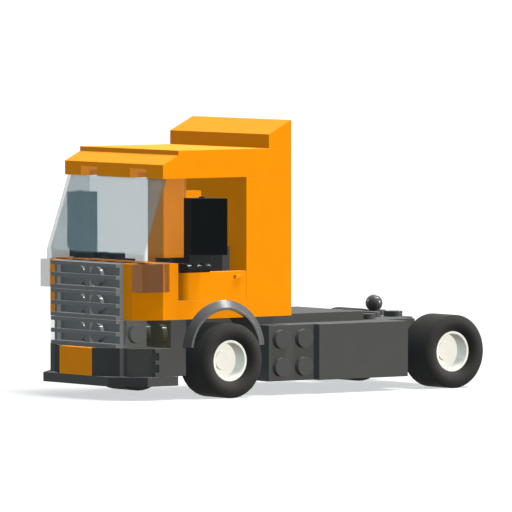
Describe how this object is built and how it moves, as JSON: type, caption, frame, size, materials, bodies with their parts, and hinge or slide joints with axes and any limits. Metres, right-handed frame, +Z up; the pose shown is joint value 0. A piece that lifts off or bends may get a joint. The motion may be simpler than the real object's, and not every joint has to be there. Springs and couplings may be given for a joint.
{
  "type": "brick-built toy semi truck tractor unit",
  "caption": "Small brick-built toy tractor unit with a cab-over body, clear windscreen, swinging low doors, big mirrors, free-rolling wheels and a ball coupling on its deck.",
  "frame": {"origin": "middle of the overall length and width, on the floor under the wheels", "axes": "+Z up, the truck faces -Y, its left side is +X"},
  "size_m": [0.0734, 0.1254, 0.0787],
  "materials": {
    "black_plastic": "glossy",
    "dark_grey_plastic": "glossy",
    "orange_plastic": "glossy",
    "grey_plastic": "glossy",
    "clear_plastic": "clear",
    "cream_plastic": "glossy",
    "tyre": "satin"
  },
  "bodies": {
    "truck": {"axle_front": "black_plastic", "axle_rear": "black_plastic", "ball_plate": "dark_grey_plastic", "bumper_beam": "dark_grey_plastic", "bumper_corners": "dark_grey_plastic", "bumper_lip": "dark_grey_plastic", "bumper_nose": "dark_grey_plastic", "cab_back": "orange_plastic", "cab_floor": "orange_plastic", "cab_front": "orange_plastic", "cab_partition": "orange_plastic", "cab_roof": "orange_plastic", "cab_side_left": "orange_plastic", "cab_side_right": "orange_plastic", "chassis_core": "dark_grey_plastic", "chassis_front": "dark_grey_plastic", "dash_peg": "black_plastic", "deck": "dark_grey_plastic", "grille": "grey_plastic", "grille_cap": "orange_plastic", "grille_wall": "grey_plastic", "headlamp_left": "clear_plastic", "headlamp_right": "clear_plastic", "indicator_left": "clear_plastic", "indicator_right": "clear_plastic", "lamp_carrier_left": "dark_grey_plastic", "lamp_carrier_right": "dark_grey_plastic", "mirror_bracket_left": "black_plastic", "mirror_bracket_right": "black_plastic", "mirror_left": "black_plastic", "mirror_right": "black_plastic", "mudguard_left": "dark_grey_plastic", "mudguard_right": "dark_grey_plastic", "number_plate": "orange_plastic", "pillar_left": "orange_plastic", "rear_spine": "dark_grey_plastic", "roof_lamps": "clear_plastic", "seat": "dark_grey_plastic", "side_carrier_left": "dark_grey_plastic", "side_carrier_right": "dark_grey_plastic", "side_plate_left": "dark_grey_plastic", "side_plate_right": "dark_grey_plastic", "tank_left": "dark_grey_plastic", "tank_right": "dark_grey_plastic", "wind_deflector": "orange_plastic", "windscreen": "clear_plastic"},
    "wheel_front_left": {"tyre_front_left": "tyre", "rim_front_left": "cream_plastic"},
    "wheel_front_right": {"tyre_front_right": "tyre", "rim_front_right": "cream_plastic"},
    "wheel_rear_left": {"tyre_rear_left": "tyre", "rim_rear_left": "cream_plastic"},
    "wheel_rear_right": {"tyre_rear_right": "tyre", "rim_rear_right": "cream_plastic"},
    "door_left": {"door_left": "orange_plastic"},
    "door_right": {"door_right": "orange_plastic"}
  },
  "joints": [
    {"name": "wheel_front_left_spin", "type": "hinge", "parent": "truck", "child": "wheel_front_left", "pos_m": [0.0225, -0.02799, 0.01065], "axis": [1, 0, 0], "continuous": true},
    {"name": "wheel_front_right_spin", "type": "hinge", "parent": "truck", "child": "wheel_front_right", "pos_m": [-0.0225, -0.02799, 0.01065], "axis": [1, 0, 0], "continuous": true},
    {"name": "wheel_rear_left_spin", "type": "hinge", "parent": "truck", "child": "wheel_rear_left", "pos_m": [0.0225, 0.05201, 0.01065], "axis": [1, 0, 0], "continuous": true},
    {"name": "wheel_rear_right_spin", "type": "hinge", "parent": "truck", "child": "wheel_rear_right", "pos_m": [-0.0225, 0.05201, 0.01065], "axis": [1, 0, 0], "continuous": true},
    {"name": "door_left_hinge", "type": "hinge", "parent": "truck", "child": "door_left", "pos_m": [0.02, -0.03999, 0.032], "axis": [0, 0, -1], "range_deg": [0, 80]},
    {"name": "door_right_hinge", "type": "hinge", "parent": "truck", "child": "door_right", "pos_m": [-0.02, -0.03999, 0.032], "axis": [0, 0, 1], "range_deg": [0, 80]}
  ]
}
